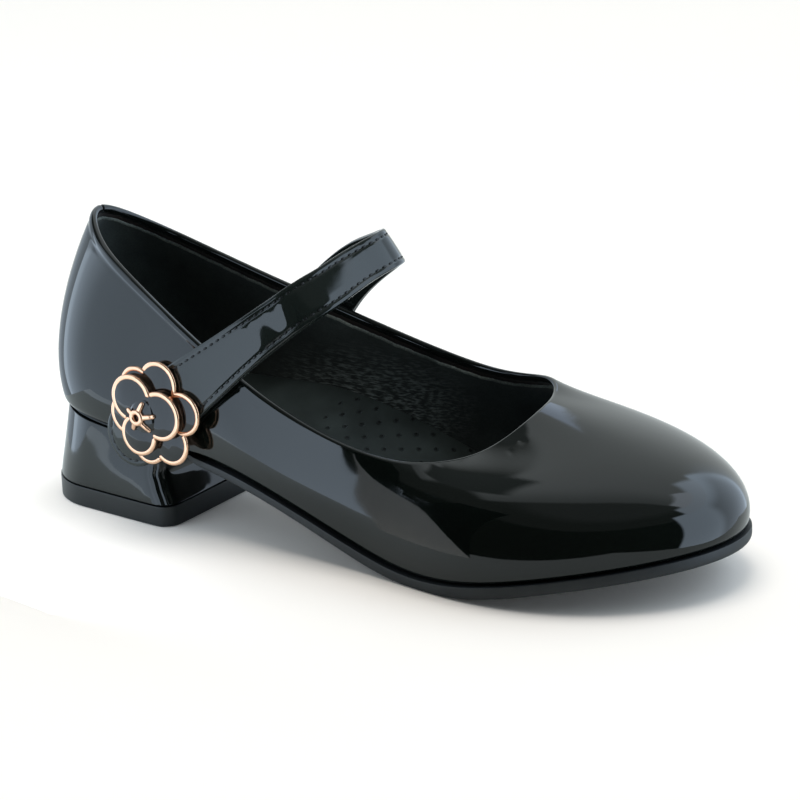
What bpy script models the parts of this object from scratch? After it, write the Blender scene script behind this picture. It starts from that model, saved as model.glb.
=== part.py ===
"""Low-heeled ballet pump with an instep strap, for the right foot, built as its separate pieces.

The last is described by ribs that rise from the feather line, where upper meets sole, to the topline.
While the shape is worked out, x runs from heel to toe, y to the big-toe side and z up, in millimetres.
place() then moves everything so that the origin lies on the floor, under the middle of the shoe.
"""

import math

import bpy
import numpy as np

MM = 0.001
GAP = 0.3                  # clearance between neighbouring pieces
ORIGIN_X = 107.9           # middle of the shoe's length, measured on the last
ORIGIN_Y = -1.2            # middle of its width, ornament included

WALL = 1.8                 # patent leather and lining together
EDGE_ROLL = 0.5            # how far the folded topline edge crowns up
RIB_COUNT = 96
RIB_STEPS = 12

INSOLE_THICK = 4.0         # padded footbed
INSOLE_CLEARANCE = 0.5
ARCH_RISE = 7.5            # the footbed's inner edge climbs the wall under the arch
ARCH_MIDDLE = 92.0
ARCH_REACH = 64.0
ARCH_START = 0.4           # share of the width, from the outer side, that stays level

SOLE_PROUD = 1.2           # the welt-like edge in front of the heel
SOLE_CHAMFER = 0.4
SOLE_CHAMFER_UP = 0.2      # share of the edge's height
SEAT_RECESS = 1.0          # the sole is set back and thin between upper and heel
SEAT_THICK = 0.5
SEAT_END, WAIST_START = 55.0, 60.0

LIFT_HEIGHT = 5.5
HEEL_LIP = 51.5            # front of the heel's top, just behind the sole's thick part

STRAP_THICK = 2.4
STRAP_EDGE = 0.5
TAB_STEPS = 8              # sections round the strap's free end
TAB_TIP = 0.08             # share of the quarter turn where they begin

# Ribs round the shoe, from the back seam by the outer side, the toe and the inner side.
# foot: where the rib leaves the feather line; top: where it ends at the topline
# bulge: how far the wall stands out low down; up: share of the rib's height
# in: share of the way, in plan, from foot to top
RIB_COLUMNS = (
    "foot_x", "foot_y", "top_x", "top_y", "top_z",
    "bulge", "bulge_up", "shoulder_in", "shoulder_out", "shoulder_up", "crown_in", "crown_up",
)
RIBS = {
    "heel_back":        (2.0, 0.0, 10.5, 0.0, 78.5, 2.5, .30, .15, 1.5, .60, .60, .87),
    "heel_corner_out":  (9.5, -18.5, 18.4, -11.6, 75.6, 3.5, .26, .15, 1.6, .60, .60, .87),
    "seat_out":         (41.5, -24.9, 40.8, -21.2, 65.0, 2.0, .30, .15, 1.0, .60, .60, .85),
    "waist_out":        (82.0, -28.5, 82.0, -25.4, 43.1, 2.5, .35, .15, 1.5, .65, .60, .85),
    "joint_rear_out":   (121.0, -31.0, 121.0, -27.5, 32.0, 2.5, .35, .10, 1.5, .65, .50, .85),
    "joint_out":        (156.0, -36.8, 143.0, -21.0, 32.0, 2.5, .40, .05, 1.0, .75, .50, .90),
    "toe_corner_out":   (195.0, -29.4, 153.6, -11.0, 36.6, 2.5, .40, .05, 1.0, .75, .50, .88),
    "toe_tip":          (216.3, 0.8, 157.0, 1.0, 41.8, 3.1, .37, .05, 1.0, .67, .47, .86),
    "toe_corner_in":    (200.6, 28.7, 153.0, 12.8, 42.3, 3.0, .34, .08, 0.9, .73, .55, .85),
    "joint_in":         (160.0, 35.3, 143.0, 23.3, 42.8, 2.4, .40, .05, 1.0, .70, .56, .82),
    "joint_rear_in":    (124.0, 29.6, 121.8, 27.0, 41.2, 2.5, .35, .10, 1.5, .66, .50, .86),
    "waist_in":         (84.0, 21.8, 84.0, 22.6, 50.5, 2.5, .35, .15, 1.5, .65, .60, .85),
    "seat_in":          (40.0, 24.4, 41.5, 20.0, 61.8, 2.0, .30, .15, 1.0, .60, .60, .85),
    "heel_corner_in":   (10.0, 17.0, 16.8, 11.6, 72.6, 2.5, .30, .15, 1.5, .60, .60, .85),
}

# Side profile: feather line above the floor, and underside of the sole in front of the heel.
FEATHER_X = (0.0, 45.0, 75.0, 105.0, 130.0, 150.0, 185.0, 222.0)
FEATHER_Z = (28.5, 23.3, 19.6, 10.5, 3.8, 3.4, 9.1, 14.8)
TREAD_X = (45.0, 75.0, 105.0, 130.0, 137.0, 151.0, 185.0, 222.0)
TREAD_Z = (21.0, 17.0, 7.5, 0.5, 0.0, 0.0, 5.6, 11.4)

# Heel levels: rear edge, widths at the rear and at the front, and the front face's two sides.
HEEL_COLUMNS = ("z", "back", "out_rear", "out_front", "in_rear", "in_front", "face_out", "face_in")
HEEL_LEVELS = (
    (5.8, -1.5, -24.6, -28.0, 22.4, 21.5, 51.6, 48.7),
    (9.5, -0.9, -24.4, -27.2, 22.4, 21.4, 49.4, 46.8),
    (13.5, 0.0, -24.2, -26.3, 22.7, 21.6, 47.6, 45.4),
    (17.5, 0.8, -24.0, -25.5, 23.0, 22.2, 48.0, 46.4),
)
HEEL_TOP = (None, 2.6, -23.9, -24.9, 23.4, 22.8, HEEL_LIP, HEEL_LIP)
LIFT_OUTLINE = (0.0, -1.7, -24.8, -28.3, 22.6, 21.7, 51.9, 49.0)
HEEL_ROUND = 22.0          # length of the rounded rear part
HEEL_CORNER = 5.0
HEEL_STEPS = {"back": 8, "side": 3, "corner": 5}
HEEL_ACROSS = 4            # steps across the front, half of them on each side

# Strap: centre line, width and how far its width leans forward, from the tab to the inner quarter.
STRAP_COLUMNS = ("x", "y", "z", "width", "lean", "sway")
STRAP = {
    "tab":      (41.5, -28.0, 25.4, 18.0, 52.0, 0.00),
    "quarter":  (55.2, -28.75, 36.0, 17.2, 52.0, 0.00),
    "belly":    (64.8, -29.1, 43.6, 15.8, 51.6, -0.01),
    "crossing": (71.5, -27.7, 48.9, 14.5, 51.1, -0.03),
    "rise":     (83.6, -24.6, 58.4, 12.6, 51.3, -0.08),
    "bend":     (92.3, -21.3, 65.2, 11.9, 52.0, -0.08),
    "shoulder": (97.2, -16.4, 69.1, 11.9, 52.0, -0.07),
    "front":    (100.5, -6.4, 72.8, 11.3, 52.6, -0.01),
    "brow":     (102.3, 0.4, 74.9, 10.8, 55.4, 0.04),
    "crest":    (103.9, 6.4, 76.4, 10.7, 58.0, 0.08),
    "fall":     (100.6, 13.2, 75.2, 10.9, 57.0, 0.13),
    "descent":  (94.0, 17.3, 71.7, 11.8, 54.0, 0.15),
    "inner":    (84.6, 21.2, 66.4, 13.4, 51.5, 0.12),
    "over":     (75.6, 23.4, 59.6, 14.8, 49.0, 0.06),
    "patch":    (68.6, 24.2, 52.0, 16.3, 47.0, 0.00),
    "root":     (64.0, 24.9, 45.0, 16.8, 47.0, 0.00),
    "rounding": (61.6, 25.2, 41.3, 15.6, 47.0, 0.00),
    "end":      (60.1, 25.4, 39.0, 9.0, 47.0, 0.00),
}

# Ornament on the strap's tab: tiers of round petals about a centre, seen from the outer side.
# Petals: direction in degrees from the toe side upwards, distance of the round's centre, its radius.
# Profiles: share of the outline and distance out from the strap, from a tier's back to its front.
FLOWER_X, FLOWER_Z = 52.3, 33.55
FLOWER_BACK = -30.5
OUTER_PETALS = ((81, 9.8, 5.2), (9, 9.5, 6.0), (-58, 9.4, 5.6),
                (-106, 9.2, 5.4), (-173, 9.4, 5.8), (126, 9.3, 5.4))
OUTER_CORE = 11.0
OUTER_PROFILE = ((0.55, 0.0), (0.97, 0.8), (1.0, 1.55), (0.92, 1.85), (0.4, 1.3))
INNER_PETALS = ((137, 6.4, 6.6), (8, 4.8, 6.8), (-116, 6.2, 5.8))
INNER_CORE = 6.5
INNER_SHIFT = -1.3         # towards the heel
INNER_PROFILE = ((0.35, 1.65), (0.96, 3.3), (1.0, 4.1), (0.88, 4.5), (0.4, 4.3))
BOSS_RADIUS = 2.4
BOSS_SHIFT = -2.65
BOSS_PROFILE = ((0.7, 4.65), (1.0, 5.6), (0.8, 6.7), (0.3, 7.0))


def closed_spline(knots, values, at, period):
    """Cubic spline through values at knots that closes on itself after one period."""
    knots, values = np.asarray(knots, float), np.asarray(values, float)
    count = len(knots)
    gap = np.diff(np.append(knots, knots[0] + period))
    system, right = np.zeros((count, count)), np.zeros((count, values.shape[1]))
    for i in range(count):
        before, after = (i - 1) % count, (i + 1) % count
        system[i, before] += gap[before]
        system[i, i] += 2 * (gap[before] + gap[i])
        system[i, after] += gap[i]
        right[i] = 6 * ((values[after] - values[i]) / gap[i] - (values[i] - values[before]) / gap[before])
    bend = np.linalg.solve(system, right)
    at = np.asarray(at, float) % period
    i = np.clip(np.searchsorted(knots, at, side="right") - 1, 0, count - 1)
    j = (i + 1) % count
    a, h = (at - knots[i])[:, None], gap[i][:, None]
    b = h - a
    curved = (bend[i] * b**3 + bend[j] * a**3) / (6 * h)
    return curved + (values[i] / h - bend[i] * h / 6) * b + (values[j] / h - bend[j] * h / 6) * a


def open_spline(knots, values, at):
    """Natural cubic spline; values may have columns."""
    knots = np.asarray(knots, float)
    values = np.asarray(values, float).reshape(len(knots), -1)
    count, gap = len(knots), np.diff(knots)
    system, right = np.eye(count), np.zeros((count, values.shape[1]))
    for i in range(1, count - 1):
        system[i, i - 1:i + 2] = gap[i - 1], 2 * (gap[i - 1] + gap[i]), gap[i]
        right[i] = 6 * ((values[i + 1] - values[i]) / gap[i] - (values[i] - values[i - 1]) / gap[i - 1])
    bend = np.linalg.solve(system, right)
    at = np.clip(np.asarray(at, float), knots[0], knots[-1])
    i = np.clip(np.searchsorted(knots, at, side="right") - 1, 0, count - 2)
    a, h = (at - knots[i])[:, None], gap[i][:, None]
    b = h - a
    curved = (bend[i] * b**3 + bend[i + 1] * a**3) / (6 * h)
    return curved + (values[i] / h - bend[i] * h / 6) * b + (values[i + 1] / h - bend[i + 1] * h / 6) * a


def bezier(controls, steps):
    """Curves through control points: controls is rib by control by axis."""
    degree = controls.shape[1] - 1
    weights = [math.comb(degree, k) * steps**k * (1 - steps)**(degree - k) for k in range(degree + 1)]
    return np.einsum("ks,rka->rsa", np.array(weights), controls)


def feather_height(x):
    return open_spline(FEATHER_X, FEATHER_Z, x)[:, 0]


def tread_height(x):
    """Underside of the sole: flat on the floor under the joint, thin and recessed over the heel."""
    tread = np.maximum(open_spline(TREAD_X, TREAD_Z, x)[:, 0], 0.0)
    seat = feather_height(x) - GAP - SEAT_THICK
    return seat + (tread - seat) * ease((x - SEAT_END) / (WAIST_START - SEAT_END))


def ease(t):
    t = np.clip(t, 0.0, 1.0)
    return t * t * (3 - 2 * t)


def unit(vectors):
    return vectors / np.linalg.norm(vectors, axis=-1, keepdims=True)


def ribs(count):
    """Every rib's foot, its outward direction in plan, and its control points."""
    table = np.array([RIBS[name] for name in RIBS])
    feet = table[:, :2]
    length = np.cumsum(np.linalg.norm(np.roll(feet, -1, axis=0) - feet, axis=1))
    knots = np.concatenate([[0.0], length[:-1]])
    places = np.arange(count) * length[-1] / count
    row = dict(zip(RIB_COLUMNS, closed_spline(knots, table, places, length[-1]).T))
    foot = np.stack([row["foot_x"], row["foot_y"]], axis=1)
    along = np.roll(foot, -1, axis=0) - np.roll(foot, 1, axis=0)
    outward = unit(np.stack([along[:, 1], -along[:, 0]], axis=1))
    base = feather_height(foot[:, 0])
    top = np.stack([row["top_x"], row["top_y"]], axis=1)
    rise = row["top_z"] - base

    def control(inward, out, up):
        plan = foot + (top - foot) * inward[:, None] + outward * out[:, None]
        return np.column_stack([plan, base + rise * up])

    nil = np.zeros(count)
    controls = np.stack([
        control(nil, nil, nil),
        control(nil, row["bulge"], row["bulge_up"]),
        control(row["shoulder_in"], row["shoulder_out"], row["shoulder_up"]),
        control(row["crown_in"], nil, row["crown_up"]),
        np.column_stack([top, row["top_z"]]),
    ], axis=1)
    return foot, outward, controls


def offset_inward(skin, distance):
    """The skin moved by distance towards the foot, along its own normals."""
    around = np.roll(skin, -1, axis=0) - np.roll(skin, 1, axis=0)
    rising = np.gradient(skin, axis=1)
    return skin + unit(np.cross(rising, around)) * distance


def material(name, colour, roughness, metallic=0.0):
    made = bpy.data.materials.new(name)
    made.use_nodes = True
    made.diffuse_color = (*colour, 1.0)
    shader = made.node_tree.nodes["Principled BSDF"]
    shader.inputs["Base Color"].default_value = (*colour, 1.0)
    shader.inputs["Roughness"].default_value = roughness
    shader.inputs["Metallic"].default_value = metallic
    return made


def place(points):
    """Last coordinates in millimetres to world coordinates in metres."""
    return (np.asarray(points) - (ORIGIN_X, ORIGIN_Y, 0.0)) * MM


def add_object(name, points, faces, finish, sharp_angle=40):
    mesh = bpy.data.meshes.new(name)
    mesh.from_pydata([tuple(p) for p in place(points)], [], faces)
    mesh.validate()
    mesh.materials.append(finish)
    mesh.shade_smooth()
    mesh.set_sharp_from_angle(angle=math.radians(sharp_angle))
    piece = bpy.data.objects.new(name, mesh)
    bpy.context.scene.collection.objects.link(piece)
    return piece


def bands(ring_count, size, closed=False):
    """Quads between rings that lie one after another in a list of points."""
    faces = []
    for k in range(ring_count if closed else ring_count - 1):
        low, high = k * size, (k + 1) % ring_count * size
        for i in range(size):
            j = (i + 1) % size
            faces.append((low + i, low + j, high + j, high + i))
    return faces


def ring_solid(name, rings, finish, height_under=None, height_over=None, across=6):
    """Rings from bottom to top, each running from the rear tip to the front and back, closed by two plates.

    A plate's rows join opposite points of the end ring, and its last row is the ring's own front.
    Its inner points take their height from a function of their x and their share of the way across.
    """
    size = len(rings[0])
    half = size // 2
    points = [tuple(p) for ring in rings for p in ring]
    faces = bands(len(rings), size)

    def plate(start, height, turned):
        rows = [[start]]
        for i in range(1, half - across // 2):
            out, back = np.array(points[start + i]), np.array(points[start + size - i])
            row = [start + i]
            for j in range(1, across):
                inner = out + (back - out) * j / across
                if height:
                    inner[2] = height(inner[:1], j / across)[0]
                row.append(len(points))
                points.append(tuple(inner))
            rows.append(row + [start + size - i])
        rows.append([start + half - across // 2 + j for j in range(across + 1)])
        for near, far in zip(rows, rows[1:]):
            for j in range(across):
                quad = [near[min(j, len(near) - 1)], near[min(j + 1, len(near) - 1)],
                        far[min(j + 1, len(far) - 1)], far[min(j, len(far) - 1)]]
                face = list(dict.fromkeys(quad))
                faces.append(tuple(face if turned else reversed(face)))

    plate(0, height_under, True)
    plate((len(rings) - 1) * size, height_over, False)
    return add_object(name, points, faces, finish)


def fan_solid(name, rings, finish):
    """Rings from bottom to top, closed at both ends by a fan round the ring's centre."""
    size = len(rings[0])
    points = [tuple(p) for ring in rings for p in ring]
    faces = bands(len(rings), size)
    last = (len(rings) - 1) * size
    points += [tuple(np.mean(rings[0], axis=0)), tuple(np.mean(rings[-1], axis=0))]
    for i in range(size):
        j = (i + 1) % size
        faces.append((len(points) - 2, j, i))
        faces.append((len(points) - 1, last + i, last + j))
    return add_object(name, points, faces, finish)


def build_upper(finish):
    controls = ribs(RIB_COUNT)[2]
    steps = np.linspace(0.0, 1.0, RIB_STEPS + 1)
    skin = bezier(controls, steps)
    lining = offset_inward(skin, WALL)
    lining[:, 0, 2] = skin[:, 0, 2]
    crown = (skin[:, -1] + lining[:, -1]) / 2 + unit(skin[:, -1] - skin[:, -2]) * EDGE_ROLL
    rings = [skin[:, k] for k in range(RIB_STEPS + 1)] + [crown]
    rings += [lining[:, k] for k in range(RIB_STEPS, -1, -1)]
    points = np.concatenate(rings)
    return add_object("upper", points, bands(len(rings), RIB_COUNT, closed=True), finish, sharp_angle=60)


def arch_rise(x, share):
    """Extra height of the footbed at a share of the width from the outer to the inner edge."""
    along = ease(1 - np.abs(np.asarray(x) - ARCH_MIDDLE) / ARCH_REACH)
    return ARCH_RISE * along * np.clip((share - ARCH_START) / (1 - ARCH_START), 0.0, 1.0) ** 2


def insole_height(x, share):
    return feather_height(x) + INSOLE_THICK + arch_rise(x, share)


def insole_ring(level):
    """The inside of the wall, less the clearance, at a share of the footbed's edge height."""
    foot, outward, controls = ribs(RIB_COUNT)
    skin = bezier(controls, np.linspace(0.0, 0.6, 60))
    inner_side = (outward[:, 1] > 0).astype(float)
    base = feather_height(foot[:, 0])
    height = base + (insole_height(foot[:, 0], inner_side) - base) * level
    plan = [[np.interp(z, rib[:, 2], rib[:, axis]) for axis in (0, 1)] for rib, z in zip(skin, height)]
    return np.column_stack([np.array(plan) - outward * (WALL + INSOLE_CLEARANCE), height])


def build_insole(finish):
    rings = [insole_ring(level) for level in (0.0, 0.5, 1.0)]
    return ring_solid("insole", rings, finish, lambda x, share: feather_height(x), insole_height)


def build_outsole(finish):
    foot, outward, _ = ribs(RIB_COUNT)
    front = ease((foot[:, 0] - SEAT_END) / (WAIST_START - SEAT_END))[:, None]
    edge = foot + outward * (SOLE_PROUD * front - SEAT_RECESS * (1 - front))
    under = edge - outward * SOLE_CHAMFER * front

    def top(x, share=0.0):
        return feather_height(x) - GAP

    def bottom(x, share=0.0):
        return tread_height(x)

    def ring(plan, up):
        low, high = bottom(plan[:, 0]), top(plan[:, 0])
        return np.column_stack([plan, low + (high - low) * up])

    rings = [ring(under, 0.0), ring(edge, SOLE_CHAMFER_UP), ring(edge, 1.0)]
    return ring_solid("outsole", rings, finish, bottom, top)


def heel_half(row, rear, front, face):
    """One side of the heel's outline, from the middle of the back to the front corner."""
    def steps(name):
        return np.linspace(0.0, 1.0, HEEL_STEPS[name] + 1)

    side = math.copysign(1.0, front)
    centre = row["back"] + HEEL_ROUND
    turn = steps("back") * math.pi / 2
    back = np.stack([centre - HEEL_ROUND * np.cos(turn), rear * np.sin(turn)], axis=1)
    turn = steps("corner") * math.pi / 2
    corner = np.stack([face - HEEL_CORNER * (1 - np.sin(turn)),
                       front - side * HEEL_CORNER * (1 - np.cos(turn))], axis=1)
    straight = back[-1] + (corner[0] - back[-1]) * steps("side")[:, None]
    return np.concatenate([back[:-1], straight[:-1], corner])


def heel_outline(level):
    """Round back, straight sides and a straight front with rounded corners, from the back round."""
    row = dict(zip(HEEL_COLUMNS, level))
    outer = heel_half(row, row["out_rear"], row["out_front"], row["face_out"])
    inner = heel_half(row, row["in_rear"], row["in_front"], row["face_in"])
    across = np.linspace(0.0, 1.0, HEEL_ACROSS + 1)[1:-1, None]
    breast = outer[-1] + (inner[-1] - outer[-1]) * across
    return np.concatenate([outer, breast, inner[:0:-1]])


def heel_ring(level):
    plan = heel_outline(level)
    return np.column_stack([plan, np.full(len(plan), level[0])])


def seat_height(x, share=0.0):
    """Top of the heel block, just under the sole's seat."""
    return feather_height(x) - 2 * GAP - SEAT_THICK


def build_heel(finish):
    top = heel_outline(HEEL_TOP)
    rings = [heel_ring(level) for level in HEEL_LEVELS]
    rings.append(np.column_stack([top, seat_height(top[:, 0])]))
    return ring_solid("heel_block", rings, finish, None, seat_height, across=HEEL_ACROSS)


def build_lift(finish):
    rings = [heel_ring((z,) + LIFT_OUTLINE[1:]) for z in (0.0, LIFT_HEIGHT)]
    return ring_solid("heel_lift", rings, finish, across=HEEL_ACROSS)


def strap_sections(count=54):
    """Centre, unit width and unit normal at points along the strap, and its half width there."""
    table = np.array([STRAP[name] for name in STRAP])
    knots = np.concatenate([[0.0], np.cumsum(np.linalg.norm(np.diff(table[:, :3], axis=0), axis=1))])
    round_end = table[0, 3] / 2
    turn = np.linspace(TAB_TIP, 1, TAB_STEPS + 1)[:-1]
    end_at = -round_end * np.cos(turn * math.pi / 2)
    at = np.concatenate([end_at, np.linspace(0.0, knots[-1], count)])
    row = dict(zip(STRAP_COLUMNS, open_spline(knots, table, at).T))
    centre = np.stack([row["x"], row["y"], row["z"]], axis=1)
    start = unit(centre[len(end_at)] - centre[len(end_at) + 1])
    centre[:len(end_at)] += start * -end_at[:, None]
    lean = np.radians(row["lean"])
    along = unit(np.gradient(centre, axis=0))
    width = np.stack([np.cos(lean), row["sway"], -np.sin(lean)], axis=1)
    width = unit(width - along * np.sum(width * along, axis=1, keepdims=True))
    half = row["width"] / 2
    half[:len(end_at)] = round_end * np.sin(turn * math.pi / 2)
    return centre, width, np.cross(width, along), half


def build_strap(finish):
    centre, width, normal, half = strap_sections()
    thick = STRAP_THICK / 2
    sections = []
    for c, w, n, h in zip(centre, width, normal, half):
        inner = max(h - STRAP_EDGE, 0.3)
        corners = ((-h, 0.0), (-inner, thick), (inner, thick), (h, 0.0), (inner, -thick), (-inner, -thick))
        sections.append([c + w * a + n * b for a, b in corners])
    return fan_solid("strap", [np.array(s) for s in sections], finish)


def petal_outline(petals, core, count):
    """Outline of round petals set about a round core, as angle and distance."""
    turn = np.arange(count) * 2 * math.pi / count
    out = np.full(count, core)
    for degrees, reach, radius in petals:
        off = turn - math.radians(degrees)
        inside = radius**2 - (reach * np.sin(off))**2
        hit = reach * np.cos(off) + np.sqrt(np.maximum(inside, 0.0))
        out = np.maximum(out, np.where(inside > 0, hit, 0.0))
    return turn, out


def build_flower_tier(name, outline, shift, profile, finish):
    """A tier of the ornament: its outline scaled and set out from the strap as its profile says."""
    turn, out = outline
    rings = []
    for share, lift in profile:
        rings.append(np.stack([FLOWER_X + shift + out * share * np.cos(turn),
                               np.full(len(turn), FLOWER_BACK - lift),
                               FLOWER_Z + out * share * np.sin(turn)], axis=1))
    return fan_solid(name, rings, finish)


def clear_scene():
    for item in list(bpy.data.objects):
        bpy.data.objects.remove(item, do_unlink=True)


def build_shoe():
    clear_scene()
    patent = material("patent_leather_black", (0.006, 0.007, 0.008), 0.06)
    lining = material("sock_leather_black", (0.012, 0.012, 0.013), 0.6)
    rubber = material("rubber_black", (0.014, 0.015, 0.016), 0.55)
    build_upper(patent)
    build_insole(lining)
    build_outsole(rubber)
    build_heel(material("heel_patent_black", (0.006, 0.007, 0.008), 0.06))
    build_lift(material("lift_rubber_black", (0.012, 0.013, 0.014), 0.5))
    build_strap(material("strap_patent_black", (0.006, 0.007, 0.008), 0.06))
    gold = (0.80, 0.49, 0.33)
    build_flower_tier("flower_outer_petals", petal_outline(OUTER_PETALS, OUTER_CORE, 72), 0.0, OUTER_PROFILE,
                      material("outer_petal_metal", gold, 0.2, 1.0))
    build_flower_tier("flower_inner_petals", petal_outline(INNER_PETALS, INNER_CORE, 60), INNER_SHIFT,
                      INNER_PROFILE, material("inner_petal_metal", gold, 0.2, 1.0))
    build_flower_tier("flower_boss", petal_outline((), BOSS_RADIUS, 24), BOSS_SHIFT, BOSS_PROFILE,
                      material("boss_metal", gold, 0.2, 1.0))


build_shoe()
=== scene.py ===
import math

import bmesh
import bpy
import numpy as np
from mathutils import Matrix, Vector


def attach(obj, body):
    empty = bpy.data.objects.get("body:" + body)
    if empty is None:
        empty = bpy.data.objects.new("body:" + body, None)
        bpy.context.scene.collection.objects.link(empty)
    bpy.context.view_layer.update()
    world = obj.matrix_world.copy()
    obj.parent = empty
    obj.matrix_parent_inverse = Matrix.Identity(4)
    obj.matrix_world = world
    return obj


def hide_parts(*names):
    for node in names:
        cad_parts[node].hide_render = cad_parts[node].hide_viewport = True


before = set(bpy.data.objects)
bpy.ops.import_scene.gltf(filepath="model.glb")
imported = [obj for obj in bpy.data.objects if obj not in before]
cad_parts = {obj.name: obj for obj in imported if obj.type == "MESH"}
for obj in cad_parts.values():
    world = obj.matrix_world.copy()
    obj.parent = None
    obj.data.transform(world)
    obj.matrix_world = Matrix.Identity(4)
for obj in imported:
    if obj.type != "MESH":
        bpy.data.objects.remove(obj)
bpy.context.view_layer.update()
bpy.ops.object.select_all(action="DESELECT")
mm = 0.001


# small helpers: colours, nodes, meshes and operators

def linear(hexColour):
    parts = [int(hexColour[i:i + 2], 16) / 255 for i in (1, 3, 5)]
    return tuple(p / 12.92 if p <= 0.04045 else ((p + 0.055) / 1.055) ** 2.4 for p in parts) + (1.0,)


def feed(tree, socket, value):
    # a socket takes another node's output or a plain value
    if isinstance(value, bpy.types.NodeSocket):
        tree.links.new(value, socket)
    else:
        socket.default_value = value


def addNode(tree, kind, inputs=None, **settings):
    node = tree.nodes.new(kind)
    for name, value in settings.items():
        setattr(node, name, value)
    for name, value in (inputs or {}).items():
        feed(tree, node.inputs[name], value)
    return node


def mathNode(tree, operation, *terms):
    return addNode(tree, "ShaderNodeMath", dict(enumerate(terms)), operation=operation).outputs["Value"]


def vectorNode(tree, operation, *terms):
    return addNode(tree, "ShaderNodeVectorMath", dict(enumerate(terms)), operation=operation).outputs


def mapped(tree, coords, scale, location=(0.0, 0.0, 0.0)):
    return addNode(tree, "ShaderNodeMapping", {"Vector": coords, "Scale": scale, "Location": location},
                   vector_type="POINT").outputs["Vector"]


def noise(tree, coords, size, detail, roughness=0.5):
    # grains of a size in mm
    return addNode(tree, "ShaderNodeTexNoise", {
        "Vector": coords, "Scale": 1000 / size, "Detail": detail, "Roughness": roughness}).outputs["Fac"]


def remap(tree, value, low, high, toLow=0.0, toHigh=1.0, kind="SMOOTHSTEP"):
    return addNode(tree, "ShaderNodeMapRange", {
        "Value": value, "From Min": low, "From Max": high, "To Min": toLow, "To Max": toHigh},
        interpolation_type=kind).outputs["Result"]


def ramp(tree, factor, *stops):
    # stops of position and colour
    node = addNode(tree, "ShaderNodeValToRGB", {"Fac": factor})
    elements = node.color_ramp.elements
    while len(elements) < len(stops):
        elements.new(0.5)
    for element, (position, colour) in zip(elements, stops):
        element.position, element.color = position, colour
    return node.outputs["Color"]


def mixColour(tree, mask, *colours):
    node = addNode(tree, "ShaderNodeMix", {"Factor": mask}, data_type="RGBA")
    for socket, colour in zip([i for i in node.inputs if i.type == "RGBA"], colours):
        feed(tree, socket, colour)
    return [o for o in node.outputs if o.type == "RGBA"][0]


def bump(tree, height, depth, strength=1.0, under=None):
    # depth in mm, over another bump if there is one
    node = addNode(tree, "ShaderNodeBump", {"Height": height, "Distance": depth * mm, "Strength": strength})
    if under:
        feed(tree, node.inputs["Normal"], under)
    return node.outputs["Normal"]


def newMaterial(name, shader):
    made = bpy.data.materials.new(name)
    made.use_nodes = True
    tree = made.node_tree
    surface = tree.nodes["Principled BSDF"].inputs
    for socket, value in shader.items():
        surface[socket].default_value = value
    return made, tree, surface, addNode(tree, "ShaderNodeTexCoord").outputs["Object"]


def meshPiece(name, points, faces, finishes, faceFinish=None):
    mesh = bpy.data.meshes.new(name)
    mesh.from_pydata([tuple(p) for p in points], [], faces)
    for finish in finishes:
        mesh.materials.append(finish)
    if faceFinish is not None:
        mesh.polygons.foreach_set("material_index", np.asarray(faceFinish, dtype=np.int32))
    mesh.shade_smooth()
    mesh.update()
    piece = bpy.data.objects.new(name, mesh)
    bpy.context.scene.collection.objects.link(piece)
    return piece


def activate(piece):
    bpy.ops.object.select_all(action="DESELECT")
    piece.select_set(True)
    bpy.context.view_layer.objects.active = piece


def placeInMesh(piece):
    activate(piece)
    bpy.ops.object.transform_apply(location=True, rotation=True, scale=True)


def joinPieces(pieces, name):
    bpy.ops.object.select_all(action="DESELECT")
    for piece in pieces:
        piece.select_set(True)
    bpy.context.view_layer.objects.active = pieces[0]
    bpy.ops.object.join()
    joined = bpy.context.view_layer.objects.active
    joined.name = joined.data.name = name
    return joined


def outwardFaces(piece, *earlier):
    # edit-mode operators on the whole piece, the last of them turning its faces outwards
    activate(piece)
    bpy.ops.object.mode_set(mode="EDIT")
    bpy.ops.mesh.select_all(action="SELECT")
    for operator, settings in earlier:
        operator(**settings)
    bpy.ops.mesh.normals_make_consistent(inside=False)
    bpy.ops.object.mode_set(mode="OBJECT")


def finishPiece(piece, slot, *replaced):
    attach(piece, "root")
    if replaced:
        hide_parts(*replaced)
    return piece


# the last: the same ribs as the solid parts have, drawn more finely

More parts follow.
